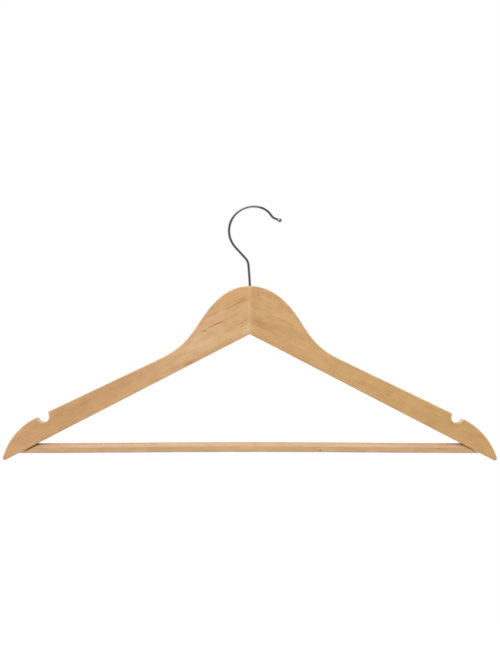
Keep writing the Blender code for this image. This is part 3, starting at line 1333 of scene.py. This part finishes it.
@dataclass(frozen=True)
class BoardWood(Wood):
    """Pale wood with brown streaks, and paler where the boards were sanded flush at the joint."""

    crown_colour: Colour = (0.74, 0.46, 0.21)
    middle_colour: Colour = (0.78, 0.50, 0.25)
    tip_colour: Colour = (0.66, 0.40, 0.18)
    seam_colour: Colour = (0.80, 0.55, 0.28)
    crown_span: Span = (0.01, 0.035)
    tip_span: Span = (0.035, 0.12)
    seam_x: float = 0.0002
    seam_span: Span = (0.0024, 0.0008)
    seam_share: float = 0.36

    def plain_colour(self, tree: Tree, place: Socket) -> Socket:
        """One colour at the crown, a second a little way out, and a third towards the tip.

        Args:
            tree: The material's tree.
            place: The place on the surface, counted from the apex.

        Returns:
            The colour.
        """
        away = maths(tree, "ABSOLUTE", parts_of(tree, place)["X"])
        outer = ranged(tree, away, self.crown_span)
        inner = mixed(tree, outer, self.crown_colour, self.middle_colour)
        return mixed(tree, ranged(tree, away, self.tip_span), inner, self.tip_colour)

    def marked(self, tree: Tree, place: Socket, colour: Socket) -> Socket:
        """The colour with the streaks, and with the pale band along the joint.

        Args:
            tree: The material's tree.
            place: The place on the surface, counted from the apex.
            colour: The wood's colour.

        Returns:
            The new colour.
        """
        colour = super().marked(tree, place, colour)
        off = maths(tree, "SUBTRACT", parts_of(tree, place)["X"], self.seam_x)
        off = maths(tree, "ABSOLUTE", off)
        band = ranged(tree, off, self.seam_span, (0.0, self.seam_share))
        return mixed(tree, band, colour, self.seam_colour)


@dataclass(frozen=True)
class BarWood(Wood):
    """Pinker wood, lighter over its upper part as a painted highlight with a darker line just
    below, a darker top edge and underside as painted shade, and a painted contact shadow under each
    arm.
    """

    # Painted highlight: the upper colour is lighter than the lower, by height on the bar.
    upper_highlight_colour: Colour = (0.725, 0.465, 0.28)
    lower_colour: Colour = (0.71, 0.435, 0.225)
    line_colour: Colour = (0.60, 0.34, 0.15)
    # Painted shade along the top edge and along the underside of the bar.
    top_edge_shade_colour: Colour = (0.61, 0.44, 0.285)
    underside_shade_colour: Colour = (0.46, 0.31, 0.18)
    # Painted contact shadow in the gap where the bar meets each arm.
    contact_shadow_colour: Colour = (0.26, 0.085, 0.012)
    # Height of the painted highlight's lower edge, and the span over which it fades.
    highlight_edge_z: float = -0.10235
    highlight_edge_span: Span = (0.00035, -0.00035)
    line_half: float = 0.0009
    line_darkness: float = 0.7
    # Heights over which the painted shade of the top edge and of the underside comes in.
    top_edge_shade_span: Span = (0.0020, 0.0028)
    underside_shade_span: Span = (-0.0033, -0.0040)
    bow: float = TrouserBar.bow
    half_length: float = 0.2
    arm_slope: float = ArmOutline.underside_angle
    # Where the painted contact shadow lies under each arm's underside, and how strong it is on each
    # side.
    contact_shadow_span: Span = (0.0018, 0.0006)
    contact_shadow_middle: Span = (-0.01, 0.01)
    contact_shadow_shares: Span = (0.97, 0.78)
    contact_shadow_fades: Span = (0.2065, 0.2005)

    def plain_colour(self, tree: Tree, place: Socket) -> Socket:
        """The colours by the height over the bar's bowed line: a painted highlight above, a darker
        line, and painted shade along the top edge and the underside.

        The line is bow times the square of the cosine of a quarter turn times x over the half
        length.

        Args:
            tree: The material's tree.
            place: The place on the surface, counted from the apex.

        Returns:
            The colour.
        """
        across, _, z = parts_of(tree, place)
        quarters = maths(tree, "MULTIPLY", across, math.pi / 2 / self.half_length)
        wave = maths(tree, "COSINE", quarters)
        rise = maths(tree, "MULTIPLY", maths(tree, "MULTIPLY", wave, wave), self.bow)
        height = maths(tree, "SUBTRACT", maths(tree, "SUBTRACT", z, rise), self.highlight_edge_z)
        # Painted highlight: lighter above its edge, the lower colour below.
        share = ranged(tree, height, self.highlight_edge_span)
        colour = mixed(tree, share, self.upper_highlight_colour, self.lower_colour)
        off = maths(tree, "ABSOLUTE", maths(tree, "ADD", height, self.line_half))
        line_span = (self.line_half, self.line_half / 2)
        line = ranged(tree, off, line_span, (0.0, self.line_darkness))
        colour = mixed(tree, line, colour, self.line_colour)
        # Painted shade: darker and greyer along the top edge, darker along the underside.
        colour = mixed(tree, ranged(tree, height, self.top_edge_shade_span), colour, self.top_edge_shade_colour)
        return mixed(tree, ranged(tree, height, self.underside_shade_span), colour, self.underside_shade_colour)

    def marked(self, tree: Tree, place: Socket, colour: Socket) -> Socket:
        """The colour with the streaks, and a painted contact shadow where the bar meets the arms'
        undersides.

        Args:
            tree: The material's tree.
            place: The place on the surface, counted from the apex.
            colour: The wood's colour.

        Returns:
            The new colour.
        """
        colour = super().marked(tree, place, colour)
        across, _, z = parts_of(tree, place)
        away = maths(tree, "ABSOLUTE", across)
        under = maths(tree, "MULTIPLY", away, -math.tan(self.arm_slope))
        # Painted contact shadow just under the plane of each arm's underside, stronger on the left.
        contact_shadow = ranged(tree, maths(tree, "SUBTRACT", under, z), self.contact_shadow_span)
        share = ranged(tree, across, self.contact_shadow_middle, self.contact_shadow_shares)
        share = maths(tree, "MULTIPLY", share, ranged(tree, away, self.contact_shadow_fades))
        return mixed(tree, maths(tree, "MULTIPLY", contact_shadow, share), colour, self.contact_shadow_colour)


@dataclass(frozen=True)
class BrightMetal:
    """Bare or plated metal with hairline marks."""

    name: str
    colour: Colour
    roughness: float
    scratches: float
    bump: Span

    def material(self) -> bpy.types.Material:
        """The finish: one colour, and the marks in its roughness and bump.

        Returns:
            The material.
        """
        made, tree, shader = new_material(self.name)
        place = node(tree, "ShaderNodeTexCoord").outputs["Object"]
        marks = FineScratches().place(tree, {"Vector": place, "Amount": self.scratches})
        rough = maths(tree, "ADD", marks["Roughness"], self.roughness)
        surfaced(tree, shader, rough, marks["Height"], self.bump)
        shader.inputs["Base Color"].default_value = (*self.colour, 1.0)
        shader.inputs["Metallic"].default_value = 1.0
        return made


@dataclass(frozen=True)
class Chrome(BrightMetal):
    """Bright chrome plating on drawn wire."""

    name: str = "chromed_wire_dressed"
    colour: Colour = (0.555, 0.55, 0.54)
    roughness: float = 0.08
    scratches: float = 0.06
    bump: Span = (0.05, 0.00002)


@dataclass(frozen=True)
class BradSteel(BrightMetal):
    """Bare bright steel of the brads."""

    name: str = "brad_steel_dressed"
    colour: Colour = (0.45, 0.45, 0.46)
    roughness: float = 0.3
    scratches: float = 0.15
    bump: Span = (0.2, 0.00003)


LEFT_WOOD = BoardWood(
    name="board_wood_left",
    grain_angle=25.0,
    crown_colour=(0.73, 0.448, 0.209),
    middle_colour=(0.741, 0.469, 0.239),
    tip_colour=(0.66, 0.386, 0.175),
    dark_colour=(0.58, 0.318, 0.129),
    warm_colour=(0.716, 0.406, 0.19),
    pore_colour=(0.40, 0.19, 0.07),
    seed=0.31,
    roughness=0.42,
    tone_share=0.6,
    streaks=(
        Streak(-0.0170, 0.0330, 30.0, 0.044, 0.0200, 0.7, Tint.ORANGE, core=0.0),
        Streak(-0.0400, -0.0080, 30.0, 0.070, 0.0260, 0.4, Tint.PALE, core=0.0),
        Streak(-0.1700, -0.0770, 25.0, 0.100, 0.0400, 0.4, Tint.SHADE, core=0.0),
        Streak(-0.2140, -0.1060, 45.0, 0.040, 0.0140, 0.5, Tint.ORANGE, core=0.0),
        Streak(-0.0010, 0.0045, 60.0, 0.026, 0.0160, 0.55, Tint.PALE, core=0.0),
        Streak(0.0, 0.0128, 90.0, 0.006, 0.0050, 0.5, Tint.SHADE, core=0.2),
        Streak(0.0, 0.0335, 90.0, 0.006, 0.0050, 0.5, Tint.SHADE, core=0.2),
        Streak(-0.0115, 0.0275, 26.0, 0.034, 0.0018, 0.8),
        Streak(-0.0086, 0.0318, 19.0, 0.019, 0.0014, 0.6),
        Streak(-0.0205, 0.0262, 26.0, 0.015, 0.0034, 0.6, Tint.OCHRE, core=0.0),
        Streak(-0.0344, 0.0176, 22.0, 0.012, 0.0017, 0.75),
        Streak(-0.0344, 0.0176, 22.0, 0.018, 0.0050, 0.6, Tint.ORANGE, core=0.0),
        Streak(-0.0298, 0.0093, 25.0, 0.022, 0.0022, 0.9),
        Streak(-0.0408, 0.0030, 20.0, 0.007, 0.0020, 0.8),
        Streak(-0.0129, 0.0110, 20.0, 0.012, 0.0020, 0.5, core=0.0),
        Streak(-0.0069, 0.0072, 34.0, 0.006, 0.0014, 0.8),
        Streak(-0.0979, -0.0355, 25.0, 0.0028, 0.0020, 0.9),
        Streak(-0.1490, -0.0628, 30.0, 0.024, 0.0060, 0.5, Tint.OCHRE, core=0.0),
        Streak(-0.1494, -0.0624, 34.0, 0.015, 0.0024, 0.55, core=0.2),
        Streak(-0.1610, -0.0680, 27.0, 0.014, 0.0030, 0.45, Tint.RED, core=0.1),
        Streak(-0.1738, -0.0724, 20.0, 0.008, 0.0034, 0.4, Tint.RED, core=0.0),
        Streak(-0.1700, -0.0800, 28.0, 0.018, 0.0040, 0.35, Tint.OCHRE, core=0.0),
        Streak(-0.0455, -0.0208, 30.0, 0.013, 0.0034, 0.6, Tint.ORANGE, core=0.0),
        Streak(-0.0280, -0.0113, 27.0, 0.020, 0.0032, 0.5, Tint.OCHRE, core=0.0),
        Streak(-0.0540, -0.0258, 27.3, 0.018, 0.0024, 0.7),
        Streak(-0.0250, 0.0220, 27.0, 0.034, 0.0019, 0.7, y=0.006),
        Streak(-0.0190, 0.0085, 24.0, 0.018, 0.0016, 0.55, y=0.006),
        Streak(-0.1250, -0.0570, 26.0, 0.036, 0.0060, 0.5, Tint.OCHRE, core=0.0, y=0.006),
    ),
)
RIGHT_WOOD = BoardWood(
    name="board_wood_right",
    grain_angle=-23.0,
    crown_colour=(0.668, 0.399, 0.168),
    middle_colour=(0.707, 0.429, 0.184),
    tip_colour=(0.658, 0.394, 0.153),
    dark_colour=(0.55, 0.305, 0.11),
    warm_colour=(0.707, 0.398, 0.167),
    pore_colour=(0.40, 0.19, 0.06),
    seam_colour=(0.78, 0.52, 0.25),
    seed=0.87,
    roughness=0.42,
    tone_share=0.6,
    streaks=(
        Streak(0.0020, 0.0045, -60.0, 0.022, 0.0120, 0.15, Tint.PALE, core=0.0),
        Streak(0.0, 0.0128, 90.0, 0.006, 0.0050, 0.5, Tint.SHADE, core=0.2),
        Streak(0.0, 0.0335, 90.0, 0.006, 0.0050, 0.5, Tint.SHADE, core=0.2),
        Streak(0.0085, 0.0100, -20.0, 0.028, 0.0120, 0.6, core=0.0),
        Streak(0.0087, 0.0353, -20.0, 0.008, 0.0020, 0.95),
        Streak(0.0236, 0.0165, -22.0, 0.012, 0.0024, 0.6, Tint.PALE, core=0.0),
        Streak(0.0236, 0.0149, -20.0, 0.009, 0.0015, 0.5),
        Streak(0.0300, 0.0121, -16.0, 0.010, 0.0018, 0.6),
        Streak(0.0362, 0.0087, -25.0, 0.012, 0.0050, 0.8, Tint.OCHRE, core=0.0),
        Streak(0.0130, 0.0320, -30.0, 0.026, 0.0120, 0.45, Tint.PINK, core=0.0),
        Streak(0.0516, -0.0034, -50.0, 0.024, 0.0046, 0.5, Tint.ORANGE, core=0.0),
        Streak(0.0650, -0.0160, -36.0, 0.020, 0.0046, 0.5, Tint.ORANGE, core=0.0),
        Streak(0.0583, -0.0133, -40.0, 0.008, 0.0030, 0.5, Tint.OCHRE, core=0.0),
        Streak(0.0676, -0.0262, -25.0, 0.007, 0.0030, 0.4, Tint.ORANGE, core=0.0),
        Streak(0.0988, -0.0353, -25.0, 0.008, 0.0034, 0.5, Tint.ORANGE, core=0.0),
        Streak(0.1224, -0.0440, -25.0, 0.008, 0.0028, 0.4, Tint.RED, core=0.0),
        Streak(0.1245, -0.0550, -22.0, 0.010, 0.0028, 0.45, Tint.OCHRE, core=0.0),
        Streak(0.1400, -0.0631, -18.0, 0.010, 0.0030, 0.6, Tint.OCHRE, core=0.0),
        Streak(0.1642, -0.0666, -22.0, 0.026, 0.0042, 0.55, Tint.OCHRE, core=0.1),
        Streak(0.2140, -0.1045, -45.0, 0.040, 0.0140, 0.5, Tint.ORANGE, core=0.0),
        Streak(0.0190, 0.0300, -24.0, 0.020, 0.0016, 0.6, y=0.006),
        Streak(0.0850, -0.0330, -25.0, 0.030, 0.0018, 0.55, y=0.006),
        Streak(0.1600, -0.0720, -24.0, 0.050, 0.0090, 0.4, Tint.SHADE, core=0.0, y=0.006),
    ),
)
BAR_WOOD = BarWood(
    name="bar_wood_dressed",
    grain_angle=0.0,
    dark_colour=(0.60, 0.36, 0.19),
    warm_colour=(0.76, 0.47, 0.28),
    pore_colour=(0.34, 0.16, 0.07),
    seed=0.55,
    roughness=0.27,
    tone_share=0.45,
    coat=0.0,
    streaks=(
        Streak(0.0, -0.1030, 0.0, 0.190, 0.0064, 0.45, Tint.HONEY, core=0.2, y=-0.0045),
        Streak(0.1000, -0.1008, 0.0, 0.130, 0.0032, 0.5, Tint.PALE, core=0.2, y=-0.0045),
        Streak(0.1706, -0.1034, 0.0, 0.008, 0.0026, 0.65, Tint.RED, core=0.2, y=-0.0045),
        Streak(0.0637, -0.1049, 0.0, 0.0036, 0.0020, 0.95, Tint.KNOT, core=0.2, y=-0.003),
        Streak(-0.1180, -0.1020, 0.0, 0.030, 0.0020, 0.45, y=0.0045),
    ),
)


# The studio


@dataclass(frozen=True)
class Studio:
    """White surroundings, one large softbox above and in front, and the camera.

    The dark parts of the room that mirrors show are given by the dot product with their middle.
    """

    camera_place: tuple[float, float, float] = (-0.00354, -1.1478, -0.11460)
    lens: float = 68.2
    sensor_width: float = 36.0
    ambient: float = 0.88
    front_dark: float = 0.88
    front_span: Span = (0.2, 0.35)
    back_dark: float = 0.62
    back_span: Span = (-0.6, -0.75)
    dark_tilt: float = math.radians(8.0)
    softbox_power: float = 6.15
    softbox_size: tuple[float, float] = (1.4, 1.0)
    softbox_place: tuple[float, float, float] = (-0.40, -0.55, 0.99)
    floor_height: float = -0.95
    floor_front: float = -0.38
    floor_size: float = 5.0
    floor_colour: float = 0.82
    floor_glow: float = 0.35

    def camera(self) -> None:
        """A level camera in front of the hanger, at the photograph's distance and angle of view."""
        data = bpy.data.cameras.new("camera")
        data.lens = self.lens
        data.sensor_width = self.sensor_width
        made = placed("camera", data)
        made.location = self.camera_place
        made.rotation_euler = (math.pi / 2, 0.0, 0.0)
        bpy.context.scene.camera = made

    def seen(self, tree: Tree) -> Socket:
        """1 for what the camera, a mirror or glass shows, and 0 for what lights the hanger.

        Args:
            tree: The tree of a world or a material.

        Returns:
            The socket.
        """
        path = node(tree, "ShaderNodeLightPath").outputs
        seen = maths(tree, "MAXIMUM", path["Is Camera Ray"], path["Is Glossy Ray"])
        return maths(tree, "MAXIMUM", seen, path["Is Transmission Ray"])

    def world(self) -> None:
        """Even light, seen as plain white.

        Reflections show a dark room in front and a smaller one behind.
        """
        world = bpy.data.worlds.new("studio")
        world.use_nodes = True
        tree = world.node_tree
        tree.nodes.clear()
        heading = node(tree, "ShaderNodeTexCoord").outputs["Generated"]
        middle = (0.0, -math.cos(self.dark_tilt), math.sin(self.dark_tilt))
        near = vectors(tree, "DOT_PRODUCT", heading, middle)["Value"]
        front = ranged(tree, near, self.front_span, (0.0, self.front_dark))
        behind = ranged(tree, near, self.back_span, (0.0, self.back_dark))
        mirrored = node(tree, "ShaderNodeLightPath").outputs["Is Glossy Ray"]
        dark = maths(tree, "MULTIPLY", maths(tree, "MAXIMUM", front, behind), mirrored)
        shade = grey(tree, maths(tree, "SUBTRACT", 1.0, dark))
        light = node(tree, "ShaderNodeBackground", {0: (1.0, 1.0, 1.0, 1.0), 1: self.ambient})
        backdrop = node(tree, "ShaderNodeBackground", {0: shade, 1: 1.0})
        feeds = {0: self.seen(tree), 1: light.outputs[0], 2: backdrop.outputs[0]}
        chosen = node(tree, "ShaderNodeMixShader", feeds)
        node(tree, "ShaderNodeOutputWorld", {0: chosen.outputs[0]})
        bpy.context.scene.world = world

    def softbox(self) -> None:
        """A large area lamp, turned to face the hanger."""
        data = bpy.data.lights.new("softbox", "AREA")
        data.shape = "RECTANGLE"
        data.size, data.size_y = self.softbox_size
        data.energy = self.softbox_power
        made = placed("softbox", data)
        made.location = self.softbox_place
        away = made.location - Vector((0.0, 0.0, self.camera_place[2]))
        made.rotation_euler = away.to_track_quat("Z", "Y").to_euler()
        made.visible_camera = False

    def floor(self) -> None:
        """A plain pale floor well below the hanger, which shows white and keeps the shadow."""
        half = self.floor_size / 2
        front = self.floor_front
        sides = ((-half, front), (half, front), (half, half), (-half, half))
        mesh = bpy.data.meshes.new("floor")
        mesh.from_pydata([(x, y, self.floor_height) for x, y in sides], [], [range(4)])
        made = placed("floor", mesh)
        material = bpy.data.materials.new("pale_floor")
        material.use_nodes = True
        tree = material.node_tree
        tree.nodes.clear()
        matt = node(tree, "ShaderNodeBsdfDiffuse", {0: (*(self.floor_colour,) * 3, 1.0)})
        strength = maths(tree, "MULTIPLY", self.seen(tree), self.floor_glow)
        glow = node(tree, "ShaderNodeEmission", {0: (1.0, 1.0, 1.0, 1.0), 1: strength})
        both = node(tree, "ShaderNodeAddShader", {0: matt.outputs[0], 1: glow.outputs[0]})
        node(tree, "ShaderNodeOutputMaterial", {0: both.outputs[0]})
        mesh.materials.append(material)

    def build(self) -> None:
        """Sets up the camera, the light and the floor."""
        self.camera()
        self.world()
        self.softbox()
        self.floor()
        bpy.context.scene.view_settings.view_transform = "Standard"


def main() -> None:
    """Builds every sub-assembly in order, then the studio."""
    logging.basicConfig(level=logging.INFO, format="%(name)s: %(message)s")
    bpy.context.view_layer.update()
    boards = Boards()
    bar = TrouserBar(boards)
    boards.build(bar, {Side.LEFT: LEFT_WOOD, Side.RIGHT: RIGHT_WOOD})
    bar.build(BAR_WOOD, BradSteel())
    WireHook(boards).build(Chrome())
    Studio().build()


if __name__ == "__main__":
    main()
